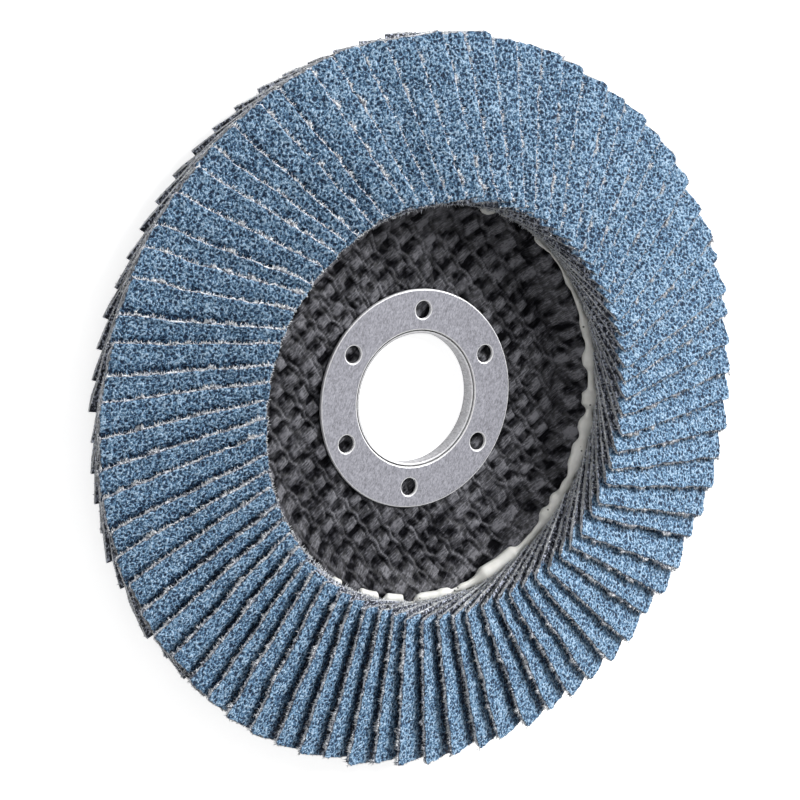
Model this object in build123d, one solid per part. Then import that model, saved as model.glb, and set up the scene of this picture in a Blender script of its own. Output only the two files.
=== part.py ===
from build123d import *
import math
import os

# Flap disc for an angle grinder, 125 mm, conical face.
# The disc lies on its back. +Z is its axis and points to the abrasive face.
# The origin is on the axis, level with the back of the bore collar.
# Lengths are in millimetres and angles in degrees.

# Bore and collar
bore_radius = 11.115
collar_wall = 0.5
collar_flange_radius = 14.6
collar_flange_thickness = 0.4
collar_recess = 0.25

# Front washer
washer_radius = 18.7
washer_thickness = 0.7
washer_edge_break = 0.2
washer_hole_count = 6
washer_hole_radius = 1.5
washer_hole_circle_radius = 15.15

# Pressed backing plate
plate_thickness = 1.5
hub_radius = 29.2
step_width = 3.9
step_height = 2.85
rim_radius = 54.5
rim_drop_angle = 7.6
hub_bend = 0.8

# Woven mesh pressed into the hub
mesh_pitch = 3.45
mesh_height = 0.3
mesh_flat_yarn_width = 1.75
mesh_thin_yarn_width = 0.8
mesh_angle = -47.0
mesh_edge_margin = 1.1

# Adhesive layer and the bead squeezed out at its inner edge
adhesive_thickness = 0.7
adhesive_rim_margin = 0.6
bead_width = 1.5
bead_rise = 0.7
bead_bevel = 0.4
bead_lobe_count = 23
bead_lobe_sides = 3
bead_lobe_depth = 0.6
bead_slow_waves = 5

# Abrasive flaps
flap_count = 76
flap_thickness = 0.95
flap_width = 18.0
flap_length = 27.6
flap_overhang = 7.1
flap_free_edge_offset = 10.7
flap_lean_angle_inner = 24.2
flap_lean_angle_outer = 15.4
flaps_per_node = 2

# Clearances
seat_clearance = 0.05
collar_clearance = 0.1


# Heights and radii that follow from the sizes above
hub_back = collar_flange_thickness
hub_front = hub_back + plate_thickness
washer_front = hub_front + washer_thickness
collar_radius = bore_radius + collar_wall
collar_seat_radius = collar_radius + collar_clearance
collar_top = washer_front - collar_recess
step_radius = hub_radius + step_width
shoulder_front = hub_front + step_height
rim_slope = math.tan(math.radians(rim_drop_angle))
rim_front = shoulder_front - (rim_radius - step_radius) * rim_slope
flap_outer_distance = rim_radius + flap_overhang
flap_inner_distance = flap_outer_distance - flap_length
adhesive_inner_radius = flap_inner_distance - seat_clearance


def cone_height(radius, lift):
    """Height above the origin of a cone that lies parallel to the rim."""
    return shoulder_front + lift - (radius - step_radius) * rim_slope


def ring(*points):
    """A solid of revolution about the axis, from its section."""
    return revolve(make_face(Plane.XZ * Polyline(*points, close=True)), Axis.Z)


# Bore collar: an eyelet whose flange grips the back of the hub
collar = ring(
    (bore_radius, 0),
    (collar_flange_radius, 0),
    (collar_flange_radius, collar_flange_thickness),
    (collar_radius, collar_flange_thickness),
    (collar_radius, collar_top),
    (bore_radius, collar_top),
)

# Front washer: a flat ring with six small holes
washer = ring(
    (collar_seat_radius, hub_front),
    (washer_radius, hub_front),
    (washer_radius, washer_front - washer_edge_break),
    (washer_radius - washer_edge_break, washer_front),
    (collar_seat_radius + washer_edge_break, washer_front),
    (collar_seat_radius, washer_front - washer_edge_break),
)
hole_outline = Circle(washer_hole_radius)
hole_places = PolarLocations(washer_hole_circle_radius, washer_hole_count)
hole_sketch = Sketch() + [place * hole_outline for place in hole_places]
washer -= extrude(Pos(0, 0, hub_front) * hole_sketch, washer_thickness)

# Backing plate: flat hub, bend, step, and a rim that falls away outwards
plate_drop = plate_thickness / math.cos(math.radians(rim_drop_angle))
step_angle = math.atan2(step_height, step_width)
bend_shift = plate_thickness * math.tan(step_angle / 2)
shoulder_shift = plate_thickness * math.tan((step_angle + math.radians(rim_drop_angle)) / 2)
shoulder_back_radius = step_radius + shoulder_shift * math.cos(math.radians(rim_drop_angle))
plate_outline = [
    (collar_seat_radius, hub_back),
    (hub_radius + bend_shift, hub_back),
    (shoulder_back_radius, cone_height(shoulder_back_radius, -plate_drop)),
    (rim_radius, rim_front - plate_drop),
    (rim_radius, rim_front),
    (step_radius, shoulder_front),
    (hub_radius + hub_bend * math.cos(step_angle), hub_front + hub_bend * math.sin(step_angle)),
    (hub_radius - hub_bend, hub_front),
    (collar_seat_radius, hub_front),
]
plate = ring(*plate_outline)

# Mesh relief: flat yarns one way and thin yarns the other, over the open part of the hub
mesh_reach = math.ceil(hub_radius / mesh_pitch)
mesh_inner = washer_radius + mesh_edge_margin
mesh_outer = hub_radius - mesh_edge_margin
open_hub = Circle(mesh_outer) - Circle(mesh_inner)
yarns = []
for step in range(-mesh_reach, mesh_reach + 1):
    offset = step * mesh_pitch
    flat_yarn = Rectangle(2 * hub_radius, mesh_flat_yarn_width)
    thin_yarn = Rectangle(mesh_thin_yarn_width, 2 * hub_radius)
    yarns.append(Pos(0, offset) * flat_yarn)
    yarns.append(Pos(offset, 0) * thin_yarn)
mesh = Sketch() + yarns
mesh = (Rot(0, 0, mesh_angle) * mesh) & open_hub
relief = extrude(Pos(0, 0, hub_front) * mesh, mesh_height)
plate += relief

# Adhesive: a layer on the rim and a lumpy bead round its inner edge
layer_top = seat_clearance + adhesive_thickness
adhesive_outer_radius = rim_radius - adhesive_rim_margin
bead_back_radius = adhesive_inner_radius - bead_width
bead_height = cone_height(adhesive_inner_radius, layer_top) + bead_rise
layer_outline = Polyline(
    (bead_back_radius, hub_front),
    (adhesive_outer_radius, hub_front),
    (adhesive_outer_radius, cone_height(adhesive_outer_radius, layer_top)),
    (adhesive_inner_radius, cone_height(adhesive_inner_radius, layer_top)),
    (adhesive_inner_radius, bead_height - bead_bevel),
    (adhesive_inner_radius - bead_bevel, bead_height),
    (bead_back_radius + bead_bevel, bead_height),
    (bead_back_radius, bead_height - bead_bevel),
    close=True,
)
plate_section = make_face(Polyline(*plate_outline, close=True))
adhesive_section = make_face(layer_outline) - Pos(0, seat_clearance) * plate_section
adhesive_section -= Pos(0, seat_clearance - plate_drop) * plate_section
adhesive_face = adhesive_section.faces().sort_by(SortBy.AREA)[-1]
adhesive = revolve(Plane.XZ * adhesive_face, Axis.Z)
lobe_points = []
point_count = bead_lobe_count * bead_lobe_sides
for step in range(point_count):
    turn = 2 * math.pi * step / point_count
    swell = math.cos(bead_lobe_count * turn) + math.sin(bead_slow_waves * turn)
    radius = bead_back_radius + bead_lobe_depth * (1 - swell / 2)
    lobe_points.append((radius * math.cos(turn), radius * math.sin(turn)))
lobe_outline = make_face(Polyline(*lobe_points, close=True))
adhesive -= extrude(Pos(0, 0, hub_front) * lobe_outline, bead_height - hub_front)


# Flaps: each leans on the next, steeper at the inner end than at the rim
def flap_end(distance, lean):
    """Corners of a flap's end: free edge and foot on top, then foot and free edge below."""
    along = (math.cos(math.radians(lean)), -math.sin(math.radians(lean)))
    below = (-math.sin(math.radians(lean)), -math.cos(math.radians(lean)))
    foot_side = flap_width * along[0] + flap_thickness * below[0] - flap_free_edge_offset
    foot_radius = math.hypot(distance, foot_side)
    foot_height = cone_height(foot_radius, layer_top + seat_clearance)
    free_height = foot_height - flap_width * along[1] - flap_thickness * below[1]
    corners = []
    for across, down in ((0, 0), (flap_width, 0), (flap_width, flap_thickness), (0, flap_thickness)):
        side = across * along[0] + down * below[0] - flap_free_edge_offset
        height = across * along[1] + down * below[1] + free_height
        corners.append(Vector(distance, side, height))
    return corners


def facet(*corners):
    return Face(Wire.make_polygon(corners, close=True))


# Cloth can't stretch, so a flap takes up its twist as a slight bend along one diagonal
inner_end = flap_end(flap_inner_distance, flap_lean_angle_inner)
outer_end = flap_end(flap_outer_distance, flap_lean_angle_outer)
flap_faces = [facet(*inner_end), facet(*outer_end)]
for first, second in ((0, 1), (1, 2), (3, 2), (3, 0)):
    flap_faces.append(facet(inner_end[first], outer_end[first], outer_end[second]))
    flap_faces.append(facet(inner_end[first], outer_end[second], inner_end[second]))
flap = Solid(Shell(flap_faces))

nodes = {
    "backing_plate": plate,
    "front_washer": washer,
    "bore_collar": collar,
    "adhesive_ring": adhesive,
}
for first in range(0, flap_count, flaps_per_node):
    members = []
    for place in range(first, min(first + flaps_per_node, flap_count)):
        members.append(Rot(0, 0, place * 360 / flap_count) * flap)
    nodes["flap_pair_%02d" % (first // flaps_per_node + 1)] = Compound(children=members)

os.makedirs("parts", exist_ok=True)
for name, shape in nodes.items():
    export_step(shape, "parts/%s.step" % name)
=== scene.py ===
import itertools
import math

import bpy
import numpy as np
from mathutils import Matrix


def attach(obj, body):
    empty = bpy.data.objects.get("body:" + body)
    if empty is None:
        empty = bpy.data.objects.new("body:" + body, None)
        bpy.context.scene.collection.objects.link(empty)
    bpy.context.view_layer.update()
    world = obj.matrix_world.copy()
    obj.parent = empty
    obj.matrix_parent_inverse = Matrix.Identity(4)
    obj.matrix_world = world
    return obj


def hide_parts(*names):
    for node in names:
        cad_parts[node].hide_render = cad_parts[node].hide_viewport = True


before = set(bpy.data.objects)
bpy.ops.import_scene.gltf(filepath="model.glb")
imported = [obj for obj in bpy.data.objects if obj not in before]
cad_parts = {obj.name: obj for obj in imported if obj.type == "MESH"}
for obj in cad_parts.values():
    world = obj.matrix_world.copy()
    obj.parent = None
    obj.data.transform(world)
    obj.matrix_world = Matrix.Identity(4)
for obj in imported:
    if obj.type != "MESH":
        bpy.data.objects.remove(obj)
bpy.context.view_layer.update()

# Looks of a 125 mm flap disc that lies on its back: 76 flaps of blue abrasive cloth glued round a
# black woven backing plate, with a plated washer and collar at the bore.
# Shapes are worked out in millimetres in the frame's own axes and written to meshes in metres.
MM = 0.001

# Camera: where it stands, how it is turned and its lens
CAMERA_PLACE_MM = (-100.09, -361.88, 563.20)
CAMERA_TURN_DEG = (-11.429, -31.807, 95.362)
CAMERA_LENS_MM = 180.0
SENSOR_MM = 36.0
CAMERA_REACH_M = 20.0

# Light and floor
KEY_AZIMUTH = 128.0
KEY_ELEVATION = 36.0
KEY_STRENGTH = 3.95
KEY_SOFTNESS = 30.0
SIDE_AZIMUTH = 242.0
SIDE_ELEVATION = 9.0
SIDE_STRENGTH = 0.85
SIDE_SOFTNESS = 40.0
WORLD_STRENGTH = 0.33
FLOOR_LIFT = 0.74
FLOOR_REACH_M = 4.0
FLOOR_DROP_M = 0.0001

# Plate, as in the CAD section
HUB_FRONT = 1.9
HUB_BACK = 0.4
HUB_RADIUS = 29.2
STEP_RADIUS = 33.1
SHOULDER_FRONT = 4.75
RIM_RADIUS = 54.5
RIM_SLOPE = math.tan(math.radians(7.6))
PLATE_BORE = 11.715
PLATE_THICKNESS = 1.5
RIM_DROP = PLATE_THICKNESS * 1.009
BACK_BEND_SHIFT = 0.9

# Plate mesh: spacing and limits of its rings, and the rings on the rim's wall as shares of its height
PLATE_COLUMNS = 700
RING_UNDER_WASHER = 0.70
RING_ON_WEAVE = 0.26
RING_ON_BACK = 0.95
UNDER_WASHER_END = 18.0
WEAVE_RINGS_START = 18.4
WEAVE_RINGS_END = 35.0
RIM_RINGS_START = 36.0
RIM_RINGS = 5
WALL_SHARES = (0.1, 0.5, 0.9)

# Relief of the weave: where it ends under the flaps, and its depth in mm where a part covers it,
# where it is open and on the back. Open weave of height OPEN_MIDDLE lies level with the CAD plate.
WEAVE_REACH = 35.5
COVER_MARGIN = 0.15
COVERED_RELIEF = 0.40
OPEN_RELIEF = 0.80
OPEN_MIDDLE = 0.62
BACK_RELIEF = 0.22

# Woven mesh in the plate
YARN_PITCH = 3.45
THIN_YARN_ANGLE = 43.0
FLAT_YARN_HALF = 1.12
THIN_YARN_HALF = 0.46
FLAT_YARN_FADE = 0.32
YARN_WANDER = 0.35
WEAVE_LIMIT = 1.2

# Washer and collar
WASHER_RADIUS = 18.7
WASHER_FRONT = 2.6
WASHER_EDGE = 0.25
WASHER_ARC_STEPS = 24
HOLE_ARC_STEPS = 10
EDGE_STEPS = 3
HOLE_COUNT = 6
HOLE_RADIUS = 1.5
HOLE_CIRCLE = 15.15
COLLAR_BORE = 11.115
COLLAR_OUTER = 11.615
COLLAR_TOP = 2.35
COLLAR_EDGE = 0.08
COLLAR_LIP = 0.06
COLLAR_BELLY = 0.03
COLLAR_BELLY_TOP = 1.8
COLLAR_BELLY_BOTTOM = 0.6
COLLAR_TOP_SHINE = 0.3
COLLAR_COLUMNS = 240
FLANGE_RADIUS = 14.6
FLANGE_THICKNESS = 0.4
MARK_MARGIN = 0.01

# Flaps: grain, and the valley where each one dips under the next
FLAPS_PER_NODE = 2
FLAP_SEED = 76
GRAIN_SIZE = 0.42
GRAIN_HEIGHT = 0.28
GRAIN_MIDDLE = 0.75
FINE_HEIGHT = 0.04
CROWN_HEIGHT = 0.10
TOP_DEPTH = 0.3
VALLEY_DEPTH = 0.28
VALLEY_WIDTH = 2.0
SHORE_DEPTH = 0.45
EXPOSED_INNER = 3.5
EXPOSED_OUTER = 5.9
EDGE_REACH = 1.3
EDGE_DROP = 0.10
INNER_CORNER = 0.35
OUTER_CORNER = 0.7

# Flap mesh: rows along it, columns on its open face, shares of the section that close its ends,
# and how closely the corners of an end agree in the CAD mesh
FLAP_ROWS = 108
TOP_COLUMNS = 20
CLOSING_SHARES = (0.25, 0.5, 0.8)
CORNER_MARGIN = 0.002

# How flaps differ in mm, as (middle, spread, least, most): slide and swing of the free edge,
# growth of the outer and inner ends, and lift of the free edge
FLAP_DIFFERENCES = (
    (0.0, 0.32, -0.7, 0.7),
    (0.0, 0.20, -0.4, 0.4),
    (0.0, 0.25, -0.6, 0.45),
    (0.0, 0.14, -0.3, 0.3),
    (0.08, 0.07, -0.05, 0.25),
)

# Stations round a flap's section, as (place across, depth, thread mark, mark for dark cut grain and
# painted gap shade).
# Top edge: places and depths in mm. Free edge: places in mm and depths as shares of the thickness.
# Underside and foot: places as shares of the width and depths as shares of the thickness.
TOP_EDGE = ((0.18, 0.0, 0.0, 0.0), (0.06, 0.02, 0.15, 0.0))
FREE_EDGE = (
    (0.02, 0.12, 0.30, 0.30), (0.06, 0.24, 0.55, 0.80), (-0.02, 0.36, 1.0, 0.0),
    (0.03, 0.50, 1.3, 0.0), (-0.02, 0.63, 1.3, 0.0), (0.03, 0.76, 1.0, 0.3),
    (0.24, 0.89, 1.0, 0.4), (2.5, 0.97, 1.0, 0.30), (5.4, 1.0, 1.0, 0.30),
)
UNDERSIDE_AND_FOOT = (
    (0.48, 1.0, 1.0, 0.45), (0.68, 1.0, 1.0, 0.45), (0.86, 1.0, 1.0, 0.45),
    (1.0, 0.8, 1.0, 0.6), (1.0, 0.3, 0.6, 0.8),
)
# Columns of the section that lie on the cut cloth of the free edge
CLOTH_COLUMNS = slice(-12, -8)

# Loose fibres: how many, their sizes in mm, and their marks. Each cut end has the way its fibres point
# along the flap, the least depth of their roots as a share of the thickness, and their longest length.
EDGE_STRANDS = 170
END_STRANDS = 60
EDGE_STRAND_LENGTHS = (0.25, 0.80)
END_STRAND_SHORTEST = 0.15
INNER_STRANDS = (-1.0, 0.08, 0.80)
OUTER_STRANDS = (1.0, 0.32, 0.45)
STRAND_RADII = (0.07, 0.15)
STRAND_MARKS = {"grain": 0.5, "thread": 1.8, "dark_and_gap_shade": 0.0}
STRAND_RISE = 0.22
STRAND_CORNERS = 3
STRAND_ROOT = 0.1
STRAND_CLEAR_ROWS = 4

# Adhesive: the arc where it was squeezed out, the arc where it stands in drops, and its bead.
# Each arc has its middle, and how far from it the effect ends and is full, in degrees.
# The bead's half width and half height are (size, growth with swell, least) in mm.
SQUEEZE_ARC = (62.0, 80.0, 32.0)
DROPS_ARC = (-20.0, 45.0, 20.0)
ADHESIVE_COLUMNS = 800
LUMP_CIRCLE = 33.0
BEAD_RADIUS = 34.05
BEAD_HEIGHT = 5.15
BEAD_STATIONS = 13
BEAD_FIRST_ANGLE = -70
BEAD_STEP_ANGLE = 20
BEAD_WIDTH = (0.60, 0.85, 0.12)
BEAD_RISE = (0.42, 0.50, 0.10)
LAYER_INNER = 34.6
LAYER_OUTER = 53.9
LAYER_TOP = 0.72
LAYER_BOTTOM = 0.06

# Noise layers, as (depth in mm, lump size in mm, seed). Those of the ends also name a sheet of noise.
FREE_EDGE_WAVES = ((0.24, 4.6, 11), (0.13, 1.3, 12), (0.07, 0.45, 13))
INNER_END_WAVES = ((0.13, 0.5, 61, 3), (0.10, 2.0, 62, 4))
OUTER_END_WAVES = ((0.18, 0.6, 71, 5), (0.12, 2.4, 72, 6))
YARN_DRIFT_X = ((0.55, 8.0, 81), (0.22, 2.3, 82))
YARN_DRIFT_Y = ((0.55, 8.0, 83), (0.22, 2.3, 84))
WEAVE_ROUGHNESS = ((0.10, 0.55, 85), (0.16, 3.6, 86), (0.17, 1.35, 89))

# Tones, as (level, colour) stops
GRAIN_TONES = (
    (0.12, (0.008, 0.022, 0.054)),
    (0.36, (0.040, 0.098, 0.195)),
    (0.58, (0.122, 0.252, 0.412)),
    (0.80, (0.270, 0.445, 0.640)),
    (1.00, (0.540, 0.715, 0.900)),
)
THREAD_TONES = (
    (0.42, (0.035, 0.038, 0.050)),
    (0.47, (0.220, 0.240, 0.300)),
    (0.52, (0.680, 0.720, 0.820)),
    (0.58, (0.960, 0.980, 1.000)),
)
# Dark cut grain, and painted shade of the gaps between flaps
DARK_AND_GAP_SHADE_TONES = (
    (0.44, (0.014, 0.016, 0.024)),
    (0.52, (0.100, 0.115, 0.155)),
    (0.60, (0.640, 0.680, 0.800)),
)
# Black resin from the weave's hollows to its crowns; the dark low end is partly painted shade.
RESIN_TONES = (
    (0.12, (0.0035, 0.0035, 0.0045)),
    (0.42, (0.0150, 0.0150, 0.0185)),
    (0.70, (0.050, 0.050, 0.060)),
    (1.00, (0.165, 0.165, 0.185)),
)
GLUE_TONES = ((0.35, (0.70, 0.70, 0.66)), (0.65, (0.88, 0.875, 0.84)))
# Painted shade in the adhesive's pinholes
PINHOLE_SHADE_COLOUR = (0.05, 0.05, 0.05, 1)
WASHER_STEEL = (0.300, 0.300, 0.335)
COLLAR_STEEL = (0.36, 0.36, 0.375)
# Painted highlight on broken steel edges
PAINTED_EDGE_HIGHLIGHT = (0.97, 0.97, 0.98, 1)
# Painted shade in the gap between collar and washer
PAINTED_SEAM_SHADE = (0.02, 0.02, 0.02, 1)
FLOOR_GREY = (0.80, 0.80, 0.80, 1)
WHITE = (1, 1, 1, 1)


# ---------------------------------------------------------------- noise
def cell_share(cells, seed):
    """A repeatable random share from 0 to 1 for each whole-number cell, one row of cells each."""
    x, y, z = (cells[..., axis].astype(np.int64).astype(np.uint32) for axis in range(3))
    mixed = x * np.uint32(73856093) ^ y * np.uint32(19349663) ^ z * np.uint32(83492791)
    mixed = mixed ^ np.uint32(seed * 7919 + 17)
    mixed = (mixed ^ (mixed >> np.uint32(13))) * np.uint32(1274126177)
    mixed = (mixed ^ (mixed >> np.uint32(15))) * np.uint32(2246822519)
    return (mixed ^ (mixed >> np.uint32(16))) / 2.0**32


def smooth_noise(points, size, seed):
    """Smooth noise from -1 to 1, with lumps of that size."""
    scaled = points / size
    base = np.floor(scaled)
    share = scaled - base
    share = share * share * (3 - 2 * share)
    total = np.zeros(points.shape[:-1])
    for corner in itertools.product((0, 1), repeat=3):
        weight = np.prod(np.where(np.array(corner) == 1, share, 1 - share), axis=-1)
        total += weight * cell_share(base + np.array(corner), seed)
    return 2 * total - 1


def noise_from_0(points, size, seed):
    """Smooth noise from 0 to 1."""
    return 0.5 + 0.5 * smooth_noise(points, size, seed)


def waves(points, layers, base=0.0):
    """A base plus layers of smooth noise, given as (depth, lump size, seed)."""
    for depth, size, seed in layers:
        base = base + depth * smooth_noise(points, size, seed)
    return base


def grain_noise(points, size, seed):
    """Height from 0 to 1 of angular grains packed on a sheet; points' third number picks the sheet."""
    far = 9.0
    scaled = points / np.array([size, size, 1.0])
    base = np.floor(scaled)
    nearest = np.full(points.shape[:-1], far)
    height = np.zeros(points.shape[:-1])
    for shift in itertools.product((-1, 0, 1), repeat=2):
        cell = base + np.array([shift[0], shift[1], 0])
        centre_x = cell[..., 0] + cell_share(cell, seed)
        centre_y = cell[..., 1] + cell_share(cell, seed + 1)
        away = (scaled[..., 0] - centre_x) ** 2 + (scaled[..., 1] - centre_y) ** 2
        closer = away < nearest
        nearest = np.where(closer, away, nearest)
        height = np.where(closer, cell_share(cell, seed + 2), height)
    return np.clip(0.35 + 0.65 * height - 0.75 * nearest, 0, 1)


def smooth_step(values, low, high):
    """A share that rises smoothly from 0 at low to 1 at high."""
    share = np.clip((values - low) / (high - low), 0, 1)
    return share * share * (3 - 2 * share)


# ---------------------------------------------------------------- meshes
def make_piece(name, points, faces, material, marks=None):
    """A smooth-shaded mesh piece from points in millimetres, riding on the disc."""
    mesh = bpy.data.meshes.new(name)
    mesh.from_pydata((np.asarray(points) * MM).tolist(), [], faces)
    for mark_name, values in (marks or {}).items():
        layer = mesh.attributes.new(mark_name, "FLOAT", "POINT")
        layer.data.foreach_set("value", np.asarray(values, np.float32))
    mesh.polygons.foreach_set("use_smooth", [True] * len(mesh.polygons))
    mesh.materials.append(material)
    mesh.update()
    piece = bpy.data.objects.new(name, mesh)
    bpy.context.scene.collection.objects.link(piece)
    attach(piece, "root")
    return piece


def grid_faces(rows, columns, first=0, wrap_rows=False):
    """Quads over a grid of points kept row by row, whose columns close into a loop."""
    row_count = rows if wrap_rows else rows - 1
    row, column = np.meshgrid(np.arange(row_count), np.arange(columns), indexing="ij")
    next_row = (row + 1) % rows
    next_column = (column + 1) % columns
    quads = np.stack([
        row * columns + column,
        row * columns + next_column,
        next_row * columns + next_column,
        next_row * columns + column,
    ], axis=-1)
    return (quads.reshape(-1, 4) + first).tolist()


def turned(points, angle):
    """Points turned about the disc's axis by an angle in radians."""
    x = points[..., 0] * math.cos(angle) - points[..., 1] * math.sin(angle)
    y = points[..., 0] * math.sin(angle) + points[..., 1] * math.cos(angle)
    return np.stack([x, y, points[..., 2]], axis=-1)


def circle_angles(count):
    """Evenly spaced angles of a full turn, in radians."""
    return np.arange(count) * 2 * math.pi / count


# ---------------------------------------------------------------- shader nodes
def node(tree, kind, inputs=None, **settings):
    """Adds a shader node. inputs maps a socket to a value or to the output that feeds it."""
    made = tree.nodes.new("ShaderNode" + kind)
    for key, value in settings.items():
        setattr(made, key, value)
    for key, value in (inputs or {}).items():
        if isinstance(value, bpy.types.NodeSocket):
            tree.links.new(value, made.inputs[key])
        else:
            made.inputs[key].default_value = value
    return made


def new_material(name):
    """A material with its node tree, its shader, and the place on the object in metres."""
    material = bpy.data.materials.new(name)
    material.use_nodes = True
    tree = material.node_tree
    shader = tree.nodes["Principled BSDF"]
    place = node(tree, "TexCoord").outputs["Object"]
    return material, tree, shader, place


def ramp(tree, share, stops):
    """Colour ramp: stops are (position, (r, g, b)) pairs."""
    made = node(tree, "ValToRGB", {0: share})
    elements = made.color_ramp.elements
    while len(elements) < len(stops):
        elements.new(0.5)
    for element, (position, tone) in zip(elements, stops):
        element.position = position
        element.color = (*tone, 1.0)
    return made.outputs[0]


def mix(tree, share, first, second):
    """Blend of two colours."""
    return node(tree, "Mix", {0: share, 6: first, 7: second}, data_type="RGBA").outputs[2]


def maths(tree, operation, first, second):
    """One sum on two numbers."""
    return node(tree, "Math", {0: first, 1: second}, operation=operation).outputs[0]


def sum_of(tree, base, *terms):
    """A base number plus (factor, output) terms."""
    total = base
    for factor, term in terms:
        total = node(tree, "Math", {0: term, 1: factor, 2: total}, operation="MULTIPLY_ADD").outputs[0]
    return total


def rescaled(tree, value, low, high, new_low=0.0, new_high=1.0):
    """A number taken from one range to another and kept inside it."""
    inputs = {0: value, 1: low, 2: high, 3: new_low, 4: new_high}
    return node(tree, "MapRange", inputs, clamp=True).outputs[0]


def noise_node(tree, place, size, detail, **inputs):
    """Noise texture with lumps of a size in millimetres."""
    sockets = {"Vector": place, "Scale": 1 / (size * MM), "Detail": detail, **inputs}
    return node(tree, "TexNoise", sockets)


def noise_share(tree, place, size, detail=2.0, roughness=0.5):
    """Noise from 0 to 1 with lumps of a size in millimetres."""
    return noise_node(tree, place, size, detail, Roughness=roughness).outputs["Fac"]


def cell_distance(tree, place, size, **settings):
    """Distance in Voronoi cells of a size in millimetres."""
    inputs = {"Vector": place, "Scale": 1 / (size * MM)}
    return node(tree, "TexVoronoi", inputs, **settings).outputs["Distance"]


def stretched(tree, place, angle, scale):
    """A place turned by an angle in degrees and stretched, for streaks that run one way."""
    inputs = {"Vector": place, "Rotation": (0.0, 0.0, math.radians(angle)), "Scale": scale}
    return node(tree, "Mapping", inputs, vector_type="TEXTURE").outputs[0]


def bump(tree, shader, height, depth, strength=1.0):
    """Bump of a depth in millimetres."""
    inputs = {"Height": height, "Distance": depth * MM, "Strength": strength}
    tree.links.new(node(tree, "Bump", inputs).outputs[0], shader.inputs["Normal"])


def colour(tree, shader, value):
    """Sets the shader's colour."""
    tree.links.new(value, shader.inputs["Base Color"])


def mark(tree, name):
    """A mark kept on the mesh's points."""
    return node(tree, "Attribute", attribute_name=name).outputs["Fac"]


def background_rays(tree):
    """1 for rays from the camera and rays that mirror or pass through the object, else 0."""
    path = node(tree, "LightPath")
    seen = maths(tree, "MAXIMUM", path.outputs["Is Camera Ray"], path.outputs["Is Glossy Ray"])
    return maths(tree, "MAXIMUM", seen, path.outputs["Is Transmission Ray"])


# ---------------------------------------------------------------- materials
def abrasive_material():
    """Blue grain in resin on the top, and the pale frayed edge of the cloth where it is cut. The colour
    also holds painted glints on the grain, painted shade in each valley and gap, and the dark cut grain.
    """
    material, tree, shader, place = new_material("abrasive_cloth")
    mottle = noise_share(tree, place, 0.40, 2.0, 0.6)
    broad = noise_share(tree, place, 2.6, 2.0, 0.5)
    bend = noise_node(tree, place, 0.7, 1.0).outputs["Color"]
    reach = (0.8 * MM, 0.8 * MM, 0.8 * MM)
    bent = node(tree, "VectorMath", {0: bend, 1: reach, 2: place}, operation="MULTIPLY_ADD").outputs[0]
    ridge = rescaled(tree, cell_distance(tree, bent, 0.86, feature="DISTANCE_TO_EDGE"), 0.27, 0.02)
    # Painted glints: scattered specks lifted to the pale top of the grain tones.
    painted_glint = rescaled(tree, noise_share(tree, place, 0.30, 0.0, 0.5), 0.66, 0.76)
    # The grain mark brings in painted shade towards each valley.
    level = sum_of(
        tree, -1.42,
        (2.4, mottle), (0.60, ridge), (0.40, mark(tree, "grain")), (0.4, broad), (0.5, painted_glint),
    )
    grain = ramp(tree, level, GRAIN_TONES)
    strands = noise_share(tree, place, 0.52, 2.0, 0.6)
    thread = ramp(tree, sum_of(tree, -0.14, (1.0, strands), (0.14, mark(tree, "thread"))), THREAD_TONES)
    ragged = sum_of(tree, 0.0, (1.0, mark(tree, "thread")), (1.1, strands))
    is_thread = rescaled(tree, ragged, 0.85, 1.0)
    # Dark cut grain, and painted shade in the gaps between flaps, where the mark for dark cut grain and
    # painted gap shade is set.
    cut = ramp(tree, noise_share(tree, place, 0.46, 2.0, 0.6), DARK_AND_GAP_SHADE_TONES)
    colour(tree, shader, mix(tree, mark(tree, "dark_and_gap_shade"), mix(tree, is_thread, grain, thread), cut))
    shader.inputs["Roughness"].default_value = 0.55
    shader.inputs["Specular IOR Level"].default_value = 0.3
    bump(tree, shader, level, 0.16)
    return material


def plate_material():
    """Black resin over glass yarn: semi-gloss crowns, and low places painted near-black, partly the black
    resin and partly painted shade in the hollows.
    """
    material, tree, shader, place = new_material("black_resin")
    along = stretched(tree, place, THIN_YARN_ANGLE, (0.24, 1.5, 1.0))
    fibre = noise_share(tree, along, 1.0, 3.0, 0.6)
    spots = noise_share(tree, place, 0.45, 2.0, 0.6)
    height = mark(tree, "height")
    # Colour follows the weave's height: lower is darker, painted shade in the hollows on top of the
    # resin's own black.
    level = sum_of(tree, -1.33, (0.90, height), (2.1, fibre), (0.7, spots))
    colour(tree, shader, ramp(tree, level, RESIN_TONES))
    gloss = rescaled(tree, height, 0.2, 0.65, 0.02, 0.42)
    tree.links.new(gloss, shader.inputs["Specular IOR Level"])
    rough = rescaled(tree, fibre, 0.3, 0.7, 0.36, 0.62)
    tree.links.new(rough, shader.inputs["Roughness"])
    bump(tree, shader, sum_of(tree, 0.0, (0.8, fibre), (0.3, spots)), 0.35)
    return material


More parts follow.
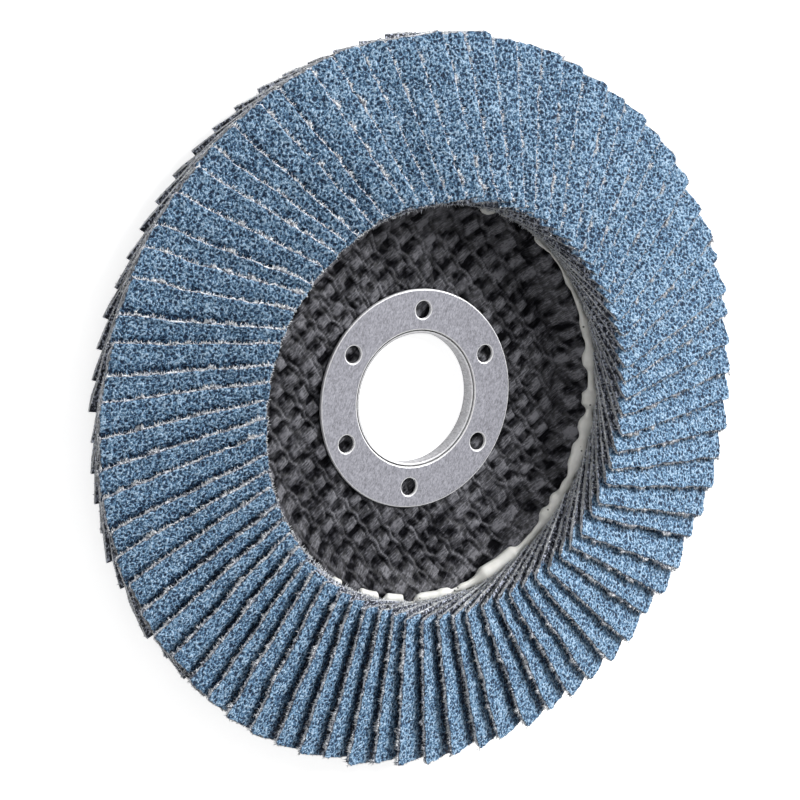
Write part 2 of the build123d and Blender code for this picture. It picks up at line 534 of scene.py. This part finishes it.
def steel_material(name, shade, streak):
    """Satin plated steel with fine mottling and faint brushing one way, with a painted highlight on its
    broken edges and painted shade where a seam is marked.
    """
    material, tree, shader, place = new_material(name)
    along = stretched(tree, place, streak, (0.16, 0.7, 1.0))
    brush = noise_share(tree, along, 1.0, 3.0, 0.7)
    spots = noise_share(tree, place, 0.35, 2.0, 0.6)
    level = sum_of(tree, 0.0, (0.6, brush), (0.4, spots))
    low = tuple(0.60 * c for c in shade)
    high = tuple(min(1.38 * c, 1) for c in shade)
    face = ramp(tree, level, [(0.36, low), (0.50, shade), (0.64, high)])
    edge = mark(tree, "edge")
    # Painted highlight: the broken edges are painted near-white and made less metallic.
    face = mix(tree, edge, face, PAINTED_EDGE_HIGHLIGHT)
    # Painted shade: the seam is painted near-black.
    colour(tree, shader, mix(tree, mark(tree, "seam_shade"), face, PAINTED_SEAM_SHADE))
    tree.links.new(sum_of(tree, 0.9, (-0.75, edge)), shader.inputs["Metallic"])
    rough = rescaled(tree, level, 0.0, 1.0, 0.32, 0.50)
    tree.links.new(rough, shader.inputs["Roughness"])
    bump(tree, shader, level, 0.03, 0.6)
    return material


def glue_material():
    """Cured off-white adhesive, smooth, with a few pinholes whose darkness is painted shade."""
    material, tree, shader, place = new_material("adhesive")
    tone = noise_share(tree, place, 3.0, 3.0, 0.5)
    # Pinholes: dark spots painted for their shade, with no hollow in the mesh.
    pinhole_shade = rescaled(tree, cell_distance(tree, place, 2.3), 0.06, 0.10)
    colour(tree, shader, mix(tree, pinhole_shade, PINHOLE_SHADE_COLOUR, ramp(tree, tone, GLUE_TONES)))
    shader.inputs["Roughness"].default_value = 0.42
    shader.inputs["Subsurface Weight"].default_value = 0.25
    shader.inputs["Subsurface Radius"].default_value = (1.2 * MM, 1.1 * MM, 1.0 * MM)
    bump(tree, shader, tone, 0.10, 0.5)
    return material


def floor_material():
    """Pale floor that shows as white to the camera and in reflections, and keeps the shadow."""
    material, tree, shader = new_material("floor")[:3]
    shader.inputs["Base Color"].default_value = FLOOR_GREY
    shader.inputs["Roughness"].default_value = 0.9
    shader.inputs["Emission Color"].default_value = WHITE
    lift = maths(tree, "MULTIPLY", background_rays(tree), FLOOR_LIFT)
    tree.links.new(lift, shader.inputs["Emission Strength"])
    return material


# ---------------------------------------------------------------- flaps
def flap_ends():
    """The two ends of the flap at angle 0, from its CAD solid: free edge, across and down vectors."""
    points = np.array([v.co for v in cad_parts["flap_pair_01"].data.vertices]) / MM
    points = np.unique(points.round(4), axis=0)
    ends = []
    for distance in np.unique(points[:, 0].round(3)):
        corners = points[abs(points[:, 0] - distance) < CORNER_MARGIN]
        # The node's other flap is turned, so its corners don't share a distance
        if len(corners) != 4:
            continue
        centre = corners.mean(axis=0)
        free = corners[corners[:, 1] < centre[1]]
        foot = corners[corners[:, 1] > centre[1]]
        free = free[np.argsort(-free[:, 2])]
        foot = foot[np.argsort(-foot[:, 2])]
        across = foot[0] - free[0]
        down = free[1] - free[0]
        width, thickness = np.linalg.norm(across), np.linalg.norm(down)
        ends.append({
            "free": free[0], "across": across / width, "width": width,
            "down": down / thickness, "thickness": thickness,
        })
    return ends


def flap_section(width, thickness, exposed):
    """Stations round a flap's section: distance from the free edge, depth, thread mark, and the mark for
    dark cut grain and painted gap shade.
    """
    # The covered part of the top is marked fully dark: painted shade of the gap under the next flap.
    stations = [(width - 0.15, 0.0, 0.0, 1.0), (0.5 * (width + exposed) + 0.5, 0.0, 0.0, 1.0)]
    stations += [(0.34 + s * (exposed + 0.2), 0.0, 0.0, 0.0) for s in np.linspace(1.0, 0.0, TOP_COLUMNS)]
    stations += TOP_EDGE
    stations += [(place, depth * thickness, thread, dark_and_gap_shade) for place, depth, thread, dark_and_gap_shade in FREE_EDGE]
    for share, depth, thread, dark_and_gap_shade in UNDERSIDE_AND_FOOT:
        stations.append((share * width, depth * thickness, thread, dark_and_gap_shade))
    return np.array(stations)


def flap_rows(width, thickness):
    """A flap's section at each row, with its share of the length, exposed width and size.

    The rows past each end close it: there the section shrinks towards the middle of the thickness."""
    rows = np.linspace(0, 1, FLAP_ROWS)
    exposed = EXPOSED_INNER + (EXPOSED_OUTER - EXPOSED_INNER) * rows
    section = np.stack([flap_section(width, thickness, one) for one in exposed])
    closes = len(CLOSING_SHARES)
    size = np.concatenate([CLOSING_SHARES, np.ones(FLAP_ROWS), CLOSING_SHARES[::-1]])[:, None]
    order = np.concatenate([[0] * closes, np.arange(FLAP_ROWS), [FLAP_ROWS - 1] * closes])
    share = np.repeat(rows[order][:, None], section.shape[1], axis=1)
    return section[order], share, exposed[order][:, None], size


def corner_cut(distance, radius):
    """How far a rounded corner draws the edge in, at a distance from the end."""
    inside = np.clip(radius - distance, 0, radius)
    return radius - np.sqrt(radius**2 - inside**2)


def edge_place(along, depth, sheet):
    """Place on a cut edge, for noise that goes with it."""
    return np.stack([along, depth, np.full(along.shape, sheet * 31.0)], axis=-1)


def end_growth(sheet, layers, growth):
    """How far an end grows past its place: a flap's own growth and its waves."""
    for depth, size, seed, noise_sheet in layers:
        growth = growth + depth * smooth_noise(sheet + [0, 0, noise_sheet], size, seed)
    return growth


def drawn(generator, middle, spread, least, most):
    """A random length in millimetres, kept between two limits."""
    return np.clip(generator.normal(middle, spread), least, most)


def flap_points(index, ends, generator):
    """Points of one flap in millimetres, with its grain mark (which carries painted valley shade), its
    thread mark, its mark for dark cut grain and painted gap shade, and its tufts.
    """
    inner, outer = ends
    thickness = inner["thickness"]
    length = outer["free"][0] - inner["free"][0]
    slide, swing, grow_outer, grow_inner, lift = [drawn(generator, *limits) for limits in FLAP_DIFFERENCES]
    section, share, exposed, size = flap_rows(inner["width"], thickness)
    across, depth, thread, dark_and_gap_shade = (section[..., k] for k in range(4))
    is_top = np.clip(1 - depth / TOP_DEPTH, 0, 1)
    near_free = np.clip(1 - across / EDGE_REACH, 0, 1)

    # Places for noise that goes with the cloth. Along the edge, lumps are longer across the flap.
    sheet = np.stack([share * length, across, np.full(share.shape, index + 0.5)], axis=-1)
    edge = sheet * [1, 0.15, 1]
    corner = corner_cut(share * length, INNER_CORNER) + corner_cut((1 - share) * length, OUTER_CORNER)
    move = waves(edge, FREE_EDGE_WAVES) - slide - swing * (share - 0.5) * 2 + corner

    # Top: grain on a gently uneven sheet, which dips in a valley before the next flap. The grain is
    # painted darker towards that valley, as painted shade.
    grain = grain_noise(sheet, GRAIN_SIZE, 21)
    fine = smooth_noise(sheet * [1, 1, 9], 0.22, 31)
    raised = GRAIN_HEIGHT * (grain - GRAIN_MIDDLE) + FINE_HEIGHT * fine
    raised = raised + CROWN_HEIGHT * smooth_noise(sheet, 2.2, 41)
    shore = exposed + SHORE_DEPTH * smooth_noise(edge, 1.1, 14)
    valley = smooth_step(across, shore - VALLEY_WIDTH, shore + 0.25)
    # Past the shore the top lies under the next flap and is marked dark: painted shade of the gap.
    past_shore = smooth_step(across, shore - 0.1, shore + 0.45)
    dark_and_gap_shade = np.where(is_top > 0.9, np.maximum(dark_and_gap_shade, past_shore), dark_and_gap_shade)
    sunk = VALLEY_DEPTH * valley * (0.3 + 0.7 * smooth_step(share, 0, 0.25))
    sunk = sunk + EDGE_DROP * np.clip(1 - across / 0.5, 0, 1) ** 2
    down = depth - is_top * raised + is_top * sunk

    # Free edge: frayed cloth with tufts
    fray = smooth_noise(edge_place(share * length, depth, index + 0.2), 0.42, 51)
    tuft = smooth_noise(edge_place(share * length, 0.3 * depth, index + 0.6), 1.3, 52)
    tuft = smooth_step(tuft, 0.2, 0.8)
    cut = np.clip((depth - 0.15) / 0.25, 0, 1) * np.clip(1 - across / 0.6, 0, 1)
    across = across + near_free * move - cut * (0.28 * fray + 0.36 * tuft)

    # Cut ends: grain above, frayed cloth with a pale line below. Off the pale line each end is marked
    # dark: the dark grain layer, and painted shade of the gaps between flaps.
    middle = 0.5 * thickness
    down = middle + (down - middle) * size
    closed = np.clip((1 - size) * 6, 0, 1)
    is_cloth = smooth_step(down, 0.22 * thickness, 0.36 * thickness)
    is_line = smooth_step(down, 0.26 * thickness, 0.40 * thickness)
    is_line = is_line * (1 - smooth_step(down, 0.66 * thickness, 0.80 * thickness))
    thread = thread + (2.3 - thread) * closed
    dark_and_gap_shade = dark_and_gap_shade + (1 - is_line - dark_and_gap_shade) * closed
    end_place = np.stack([across, down, share * 3 + index], axis=-1)
    fuzz = closed * (0.05 + 0.14 * is_cloth * smooth_noise(end_place, 0.27, 55))
    pull_inner = np.clip(1 - share * 9, 0, 1) * (end_growth(sheet, INNER_END_WAVES, grow_inner) + fuzz)
    pull_outer = np.clip(share * 9 - 8, 0, 1) * (end_growth(sheet, OUTER_END_WAVES, grow_outer) + fuzz)
    stretch = share + (pull_outer - pull_inner) / length

    down = down - lift * near_free
    start, end = (
        one["free"] + across[..., None] * one["across"] + down[..., None] * one["down"] for one in ends
    )
    points = start + stretch[..., None] * (end - start)
    # Painted shade: the grain is painted darker towards the next flap's edge, less so near the inner end.
    shade = is_top * smooth_step(across, shore - 1.5, shore + 0.2)
    grain_with_valley_shade = grain + 0.3 * fine - 1.15 * shade * smooth_step(share, 0.03, 0.3)
    return points, grain_with_valley_shade, thread, dark_and_gap_shade, tuft


def strand_points(roots, directions, lengths, radii, generator):
    """Loose cloth fibres: thin three-sided spikes."""
    count = len(roots)
    side = np.cross(directions, generator.normal(size=(count, 3)))
    side /= np.linalg.norm(side, axis=1, keepdims=True)
    other = np.cross(directions, side)
    base = roots - directions * STRAND_ROOT
    points = []
    for corner in range(STRAND_CORNERS):
        turn = corner * 2 * math.pi / STRAND_CORNERS
        points.append(base + radii[:, None] * (math.cos(turn) * side + math.sin(turn) * other))
    points.append(roots + directions * lengths[:, None])
    pattern = [(0, 2, 1), (0, 1, 3), (1, 2, 3), (2, 0, 3)]
    faces = [tuple(4 * strand + corner for corner in face) for strand in range(count) for face in pattern]
    return np.stack(points, axis=1).reshape(-1, 3), faces


def edge_strands(flap, tuft, inner, generator):
    """Roots, directions and lengths of the fibres on one flap's free edge, thickest at its tufts."""
    rows = slice(STRAND_CLEAR_ROWS, -STRAND_CLEAR_ROWS)
    edge = flap[rows, CLOTH_COLUMNS].reshape(-1, 3)
    likely = 0.25 + tuft[rows, CLOTH_COLUMNS].ravel()
    place = edge[generator.choice(len(edge), EDGE_STRANDS, p=likely / likely.sum())]
    roots = place + generator.normal(0, 0.06, place.shape)
    directions = 0.35 * inner["down"] - inner["across"] + generator.normal(0, 0.5, place.shape)
    return roots, directions, generator.uniform(*EDGE_STRAND_LENGTHS, EDGE_STRANDS)


def end_strands(flap_end, end, out, high, longest, generator):
    """Roots, directions and lengths of the fibres on one cut end."""
    across = generator.uniform(0.2, end["width"] - 0.5, END_STRANDS)
    depth = generator.uniform(high, 0.75, END_STRANDS) * end["thickness"]
    roots = end["free"] + across[:, None] * end["across"] + depth[:, None] * end["down"]
    roots[:, 0] = np.median(flap_end[:, 0]) + generator.normal(0, 0.08, END_STRANDS)
    lean = generator.normal(0, 0.7, (END_STRANDS, 1)) * end["across"]
    directions = [out, 0, 0] + lean + generator.normal(0, 0.35, roots.shape)
    return roots, directions, generator.uniform(END_STRAND_SHORTEST, longest, END_STRANDS)


def flap_strands(flap, tuft, ends, generator):
    """Fibres that stand out of the free edge and of both cut ends of one flap."""
    inner, outer = ends
    groups = [
        edge_strands(flap, tuft, inner, generator),
        end_strands(flap[0], inner, *INNER_STRANDS, generator),
        end_strands(flap[-1], outer, *OUTER_STRANDS, generator),
    ]
    roots, directions, lengths = (np.concatenate(group) for group in zip(*groups))
    directions /= np.linalg.norm(directions, axis=1, keepdims=True)
    directions[:, 2] = np.minimum(directions[:, 2], STRAND_RISE)
    radii = generator.uniform(*STRAND_RADII, len(roots))
    return strand_points(roots, directions, lengths, radii, generator)


def flap_faces(rows, columns, first):
    """Faces of one flap: its sides, and a cap at each end."""
    last = first + (rows - 1) * columns
    inner_cap = [first + column for column in range(columns)]
    outer_cap = [last + column for column in reversed(range(columns))]
    return grid_faces(rows, columns, first) + [inner_cap, outer_cap]


def build_flaps():
    """One piece for each node of two flaps, with their grain and loose fibres."""
    material = abrasive_material()
    ends = flap_ends()
    generator = np.random.default_rng(FLAP_SEED)
    names = sorted(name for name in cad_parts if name.startswith("flap_pair_"))
    flap_count = FLAPS_PER_NODE * len(names)
    for pair, name in enumerate(names):
        points, faces = [], []
        marks = {key: [] for key in STRAND_MARKS}
        for member in range(FLAPS_PER_NODE):
            index = pair * FLAPS_PER_NODE + member
            angle = index * 2 * math.pi / flap_count
            flap, grain, thread, dark_and_gap_shade, tuft = flap_points(index, ends, generator)
            strands, strand_faces = flap_strands(flap, tuft, ends, generator)
            rows, columns = flap.shape[:2]
            first = sum(len(block) for block in points)
            points.append(turned(flap, angle).reshape(-1, 3))
            faces += flap_faces(rows, columns, first)
            first += rows * columns
            points.append(turned(strands, angle))
            faces += [tuple(first + corner for corner in face) for face in strand_faces]
            # The grain mark carries painted valley shade; the dark mark carries painted gap shade as well
            # as dark cut grain.
            for key, values in (("grain", grain), ("thread", thread), ("dark_and_gap_shade", dark_and_gap_shade)):
                marks[key] += [values.ravel(), np.full(len(strands), STRAND_MARKS[key])]
        marks = {key: np.concatenate(values) for key, values in marks.items()}
        points = np.concatenate(points)
        piece = make_piece("abrasive_" + name, points, faces, material, marks)
        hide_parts(name)


# ---------------------------------------------------------------- backing plate
def weave(x, y):
    """Height of the woven mesh, 0 to WEAVE_LIMIT: flat yarns one way, thin raised yarns the other."""
    flat = np.stack([x, y, np.zeros_like(x)], axis=-1)
    x = waves(flat, YARN_DRIFT_X, x)
    y = waves(flat, YARN_DRIFT_Y, y)
    turn = math.radians(THIN_YARN_ANGLE)
    along_thin = (x * math.cos(turn) + y * math.sin(turn)) / YARN_PITCH
    across_thin = (y * math.cos(turn) - x * math.sin(turn)) / YARN_PITCH
    cell = np.stack([np.floor(along_thin), np.floor(across_thin), np.zeros_like(x)], axis=-1)
    odd, odder, oddest = (cell_share(cell, 87 + step) for step in range(3))

    # Distances in millimetres from the middle of the flat yarn and from the thin yarns beside it
    flat_away = (along_thin - np.floor(along_thin) - 0.5) * YARN_PITCH + YARN_WANDER * (odd - 0.5)
    thin_away = (across_thin - np.round(across_thin)) * YARN_PITCH
    middle_away = YARN_PITCH / 2 - abs(thin_away)

    # Flat yarn, which swells into a pillow between two thin yarns
    half_wide = FLAT_YARN_HALF * (0.85 + 0.3 * odder)
    yarn = 1 - smooth_step(abs(flat_away), half_wide - FLAT_YARN_FADE, half_wide + 0.10)
    pillow = yarn * (1 - smooth_step(middle_away, 0.85 + 0.25 * odd, 1.35))
    crown = 1 - 0.35 * np.clip(abs(flat_away) / half_wide, 0, 1) ** 2

    # Thin yarn, which wanders from side to side and dips
    strand = 0.22 * np.sin(2 * math.pi * along_thin) + 0.15 * (oddest - 0.5)
    thin = np.sqrt(np.clip(1 - ((thin_away - strand) / THIN_YARN_HALF) ** 2, 0, 1))
    dip = 0.72 + 0.28 * smooth_noise(flat, 2.9, 90)
    height = np.maximum(0.40 * yarn, 0.85 * thin * dip)
    height = np.maximum(height, pillow * crown * (0.66 + 0.34 * oddest))

    # Resin in the hollows
    under = np.stack([0.45 * (x + y), 1.1 * (x - y), np.zeros_like(x)], axis=-1)
    deep = 0.30 + 0.26 * smooth_noise(under, 1.1, 91) + 0.22 * smooth_noise(flat, 0.8, 92)
    return np.clip(waves(flat, WEAVE_ROUGHNESS, np.maximum(height, deep)), 0, WEAVE_LIMIT)


def cone_front(radius):
    """Height of the rim's front, carried on inwards and outwards."""
    return SHOULDER_FRONT - (radius - STEP_RADIUS) * RIM_SLOPE


def plate_front(radius):
    """Height of the plate's front: hub, step and falling rim."""
    step = HUB_FRONT + (radius - HUB_RADIUS) * (SHOULDER_FRONT - HUB_FRONT) / (STEP_RADIUS - HUB_RADIUS)
    height = np.where(radius < HUB_RADIUS, HUB_FRONT, np.minimum(step, cone_front(radius)))
    return np.where(radius > STEP_RADIUS, cone_front(radius), height)


def plate_back(radius):
    """Height of the plate's back."""
    rise = SHOULDER_FRONT - HUB_FRONT
    step = HUB_BACK + (radius - HUB_RADIUS - BACK_BEND_SHIFT) * rise / (STEP_RADIUS - HUB_RADIUS)
    return np.maximum(HUB_BACK, np.minimum(step, cone_front(radius) - RIM_DROP))


def plate_radii():
    """Radii of the plate's rings: front outwards, then the rim's wall, then the back inwards."""
    front = np.concatenate([
        np.arange(PLATE_BORE, UNDER_WASHER_END, RING_UNDER_WASHER),
        np.arange(WEAVE_RINGS_START, WEAVE_RINGS_END, RING_ON_WEAVE),
        np.linspace(RIM_RINGS_START, RIM_RADIUS - 0.25, RIM_RINGS),
    ])
    back = np.arange(RIM_RADIUS - 0.4, PLATE_BORE, -RING_ON_BACK)
    wall = [RIM_RADIUS] * len(WALL_SHARES)
    return np.concatenate([front, wall, back, [PLATE_BORE]]), len(front)


def build_plate():
    """The plate with its weave, deep where it is open and shallow under the washer and at the back."""
    radii, front_count = plate_radii()
    radius, angle = np.meshgrid(radii, circle_angles(PLATE_COLUMNS), indexing="ij")
    x, y = radius * np.cos(angle), radius * np.sin(angle)
    is_front = np.arange(len(radii))[:, None] < front_count
    height = np.where(is_front, plate_front(radius), plate_back(radius))
    for step, share in enumerate(WALL_SHARES):
        height[front_count + step] = cone_front(RIM_RADIUS) - share * PLATE_THICKNESS
    cloth = weave(x, y)
    is_covered = radius < WASHER_RADIUS + COVER_MARGIN
    covered = COVERED_RELIEF * (cloth - WEAVE_LIMIT)
    relief = np.where(is_covered, covered, OPEN_RELIEF * (cloth - OPEN_MIDDLE))
    relief = np.where(radius > WEAVE_REACH, 0.0, relief)
    back_relief = BACK_RELIEF - BACK_RELIEF * np.clip(cloth, 0, 1)
    past_flange = np.clip(radius - FLANGE_RADIUS, 0, 1)
    height = height + np.where(is_front, relief, back_relief * past_flange)
    points = np.stack([x, y, height], axis=-1).reshape(-1, 3)
    faces = grid_faces(len(radii), PLATE_COLUMNS, wrap_rows=True)
    marks = {"height": cloth.ravel()}
    piece = make_piece("woven_backing_plate", points, faces, plate_material(), marks)
    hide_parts("backing_plate")


# ---------------------------------------------------------------- adhesive
def arc_share(angles, middle, edge, full):
    """A share that rises from 0 at the edge of an arc to 1 near its middle, in degrees from it."""
    low, high = math.cos(math.radians(edge)), math.cos(math.radians(full))
    return smooth_step(np.cos(angles - math.radians(middle)), low, high)


def bead_swell(angles):
    """How far the bead swells at each angle: lumps on one side, a thin broken line on the other,
    and drops that stand apart in a short arc."""
    x, y = LUMP_CIRCLE * np.cos(angles), LUMP_CIRCLE * np.sin(angles)
    around = np.stack([x, y, np.zeros(len(angles))], axis=-1)
    lump = noise_from_0(around, 5.0, 91)
    small = noise_from_0(around, 2.2, 92)
    lumps = 0.10 + 1.25 * smooth_step(lump * 0.6 + small * 0.6, 0.45, 0.85)
    thin = smooth_step(lump + small, 1.15, 1.6) - 0.55
    plenty = arc_share(angles, *SQUEEZE_ARC)
    swell = plenty * lumps + (1 - plenty) * thin
    drops = 1.10 * smooth_step(noise_from_0(around, 1.8, 94), 0.36, 0.62) - 0.70
    swell = swell + arc_share(angles, *DROPS_ARC) * (drops - swell)
    return np.clip(swell, -0.9, 1.5)


def bead_half(swell, size, growth, least):
    """Half the bead's width or height where it swells by that much."""
    return np.maximum(size + growth * swell, least)


def ring_row(radius, height, angles):
    """A ring of points round the axis."""
    return np.stack([radius * np.cos(angles), radius * np.sin(angles), height], axis=-1)


def build_adhesive():
    """The thin layer under the flaps, and the bead squeezed out at its inner edge."""
    angles = circle_angles(ADHESIVE_COLUMNS)
    swell = bead_swell(angles)

    # Where the bead is thin it draws back under the flaps
    centre_radius = BEAD_RADIUS + 1.3 * np.clip(-swell - 0.3, 0, 1)
    rows = []
    for step in range(BEAD_STATIONS):
        turn = math.radians(BEAD_FIRST_ANGLE + step * BEAD_STEP_ANGLE)
        radius = centre_radius - math.cos(turn) * bead_half(swell, *BEAD_WIDTH)
        height = BEAD_HEIGHT + math.sin(turn) * bead_half(swell, *BEAD_RISE)
        rows.append(ring_row(radius, height, angles))
    layer = (
        (LAYER_INNER, LAYER_TOP), (LAYER_OUTER, LAYER_TOP),
        (LAYER_OUTER, LAYER_BOTTOM), (LAYER_INNER, LAYER_BOTTOM),
    )
    for radius, lift in layer:
        height = np.full(ADHESIVE_COLUMNS, cone_front(radius) + lift)
        rows.append(ring_row(radius, height, angles))
    points = np.stack(rows)
    points[:BEAD_STATIONS] += 0.05 * smooth_noise(points[:BEAD_STATIONS], 0.9, 93)[..., None]
    faces = grid_faces(len(rows), ADHESIVE_COLUMNS, wrap_rows=True)
    piece = make_piece("adhesive_bead", points.reshape(-1, 3), faces, glue_material())
    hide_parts("adhesive_ring")


# ---------------------------------------------------------------- washer and collar
def circle_spline(curve, radius, steps, centre=(0.0, 0.0)):
    """A circle added to a curve as four Bezier arcs, each cut into that many steps."""
    spline = curve.splines.new("BEZIER")
    spline.bezier_points.add(3)
    handle = radius * 4 / 3 * (math.sqrt(2) - 1)
    for step, point in enumerate(spline.bezier_points):
        turn = step * math.pi / 2
        c, s = math.cos(turn), math.sin(turn)
        x, y = centre[0] + radius * c, centre[1] + radius * s
        point.co = (x * MM, y * MM, 0)
        point.handle_left = ((x + handle * s) * MM, (y - handle * c) * MM, 0)
        point.handle_right = ((x - handle * s) * MM, (y + handle * c) * MM, 0)
    spline.use_cyclic_u = True
    spline.resolution_u = steps


def washer_curve():
    """The washer's outline, bore and holes as a filled curve with rounded edges."""
    curve = bpy.data.curves.new("washer_outline", "CURVE")
    curve.dimensions = "2D"
    curve.fill_mode = "BOTH"
    curve.extrude = ((WASHER_FRONT - HUB_FRONT) / 2 - WASHER_EDGE) * MM
    curve.bevel_depth = WASHER_EDGE * MM
    curve.bevel_resolution = EDGE_STEPS
    curve.offset = -WASHER_EDGE * MM
    circle_spline(curve, WASHER_RADIUS, WASHER_ARC_STEPS)
    circle_spline(curve, PLATE_BORE, WASHER_ARC_STEPS)
    for hole in range(HOLE_COUNT):
        turn = hole * 2 * math.pi / HOLE_COUNT
        centre = (HOLE_CIRCLE * math.cos(turn), HOLE_CIRCLE * math.sin(turn))
        circle_spline(curve, HOLE_RADIUS, HOLE_ARC_STEPS, centre)
    return curve


def build_washer():
    """A stamped ring with broken edges round its rim, bore and six holes."""
    outline = bpy.data.objects.new("washer_outline", washer_curve())
    bpy.context.scene.collection.objects.link(outline)
    bpy.context.view_layer.update()
    evaluated = outline.evaluated_get(bpy.context.evaluated_depsgraph_get())
    mesh = bpy.data.meshes.new_from_object(evaluated)
    bpy.data.objects.remove(outline)
    middle = (WASHER_FRONT + HUB_FRONT) / 2
    points = np.array([v.co for v in mesh.vertices]) / MM + [0, 0, middle]
    faces = [list(face.vertices) for face in mesh.polygons]
    # Points on the rounded edges get the painted highlight
    painted_highlight_points = abs(points[:, 2] - middle) < (WASHER_FRONT - HUB_FRONT) / 2 - MARK_MARGIN
    material = steel_material("plated_steel", WASHER_STEEL, 72.0)
    piece = make_piece("stamped_washer", points, faces, material, {"edge": painted_highlight_points})
    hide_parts("front_washer")


def build_collar():
    """An eyelet: tube through the bore, with a rolled flange at the back."""
    outer_edge = COLLAR_OUTER - COLLAR_EDGE
    bore_edge = COLLAR_BORE + COLLAR_EDGE
    flange_edge = FLANGE_RADIUS - COLLAR_EDGE
    belly = COLLAR_BORE + COLLAR_BELLY
    profile = [
        (bore_edge, 0.0), (flange_edge, 0.0), (FLANGE_RADIUS, COLLAR_EDGE),
        (FLANGE_RADIUS, FLANGE_THICKNESS - COLLAR_EDGE), (flange_edge, FLANGE_THICKNESS),
        (COLLAR_OUTER + COLLAR_EDGE, FLANGE_THICKNESS), (COLLAR_OUTER, FLANGE_THICKNESS + COLLAR_EDGE),
        (COLLAR_OUTER, COLLAR_TOP - COLLAR_EDGE), (outer_edge, COLLAR_TOP),
        (outer_edge - COLLAR_LIP, COLLAR_TOP), (bore_edge, COLLAR_TOP),
        (COLLAR_BORE, COLLAR_TOP - COLLAR_EDGE), (belly, COLLAR_BELLY_TOP),
        (belly, COLLAR_BELLY_BOTTOM), (COLLAR_BORE, COLLAR_EDGE),
    ]
    angles = circle_angles(COLLAR_COLUMNS)
    rows = [ring_row(r, np.full(COLLAR_COLUMNS, z), angles) for r, z in profile]
    faces = grid_faces(len(rows), COLLAR_COLUMNS, wrap_rows=True)
    # Painted highlight on the collar's top
    edge = [COLLAR_TOP_SHINE if z > COLLAR_TOP - MARK_MARGIN else 0.0 for r, z in profile]
    # Painted shade on the collar's outer wall, in the gap beside the washer
    seam_shade = [r > outer_edge - MARK_MARGIN and z > FLANGE_THICKNESS + MARK_MARGIN for r, z in profile]
    marks = {"edge": np.repeat(edge, COLLAR_COLUMNS), "seam_shade": np.repeat(seam_shade, COLLAR_COLUMNS)}
    material = steel_material("collar_steel", COLLAR_STEEL, 0.0)
    piece = make_piece("rolled_collar", np.concatenate(rows), faces, material, marks)
    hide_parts("bore_collar")


# ---------------------------------------------------------------- stage, light and camera
def build_stage():
    """A flat floor just under the disc."""
    mesh = bpy.data.meshes.new("floor")
    corners = [(x * FLOOR_REACH_M, y * FLOOR_REACH_M, 0) for x, y in ((-1, -1), (1, -1), (1, 1), (-1, 1))]
    mesh.from_pydata(corners, [], [(0, 1, 2, 3)])
    mesh.materials.append(floor_material())
    floor = bpy.data.objects.new("floor", mesh)
    floor.location.z = -FLOOR_DROP_M
    bpy.context.scene.collection.objects.link(floor)


def build_light():
    """An even pale world and two soft suns."""
    world = bpy.data.worlds.new("studio")
    world.use_nodes = True
    tree = world.node_tree
    background = tree.nodes["Background"]
    share = maths(tree, "MULTIPLY", background_rays(tree), 1 - WORLD_STRENGTH)
    background.inputs["Color"].default_value = WHITE
    tree.links.new(maths(tree, "ADD", share, WORLD_STRENGTH), background.inputs["Strength"])
    bpy.context.scene.world = world
    for name, azimuth, elevation, strength, softness in (
        ("key", KEY_AZIMUTH, KEY_ELEVATION, KEY_STRENGTH, KEY_SOFTNESS),
        ("side", SIDE_AZIMUTH, SIDE_ELEVATION, SIDE_STRENGTH, SIDE_SOFTNESS),
    ):
        sun = bpy.data.lights.new(name, "SUN")
        sun.energy = strength
        sun.angle = math.radians(softness)
        lamp = bpy.data.objects.new(name, sun)
        lamp.rotation_euler = (0, math.radians(90 - elevation), math.radians(azimuth))
        bpy.context.scene.collection.objects.link(lamp)


def build_camera():
    """The camera that gives the main view."""
    data = bpy.data.cameras.new("camera")
    data.lens = CAMERA_LENS_MM
    data.sensor_width = SENSOR_MM
    data.clip_end = CAMERA_REACH_M
    camera = bpy.data.objects.new("camera", data)
    camera.location = [value * MM for value in CAMERA_PLACE_MM]
    camera.rotation_euler = [math.radians(value) for value in CAMERA_TURN_DEG]
    bpy.context.scene.collection.objects.link(camera)
    bpy.context.scene.camera = camera


build_camera()
build_light()
build_stage()
build_flaps()
build_plate()
build_adhesive()
build_washer()
build_collar()
bpy.context.scene.view_settings.view_transform = "Standard"
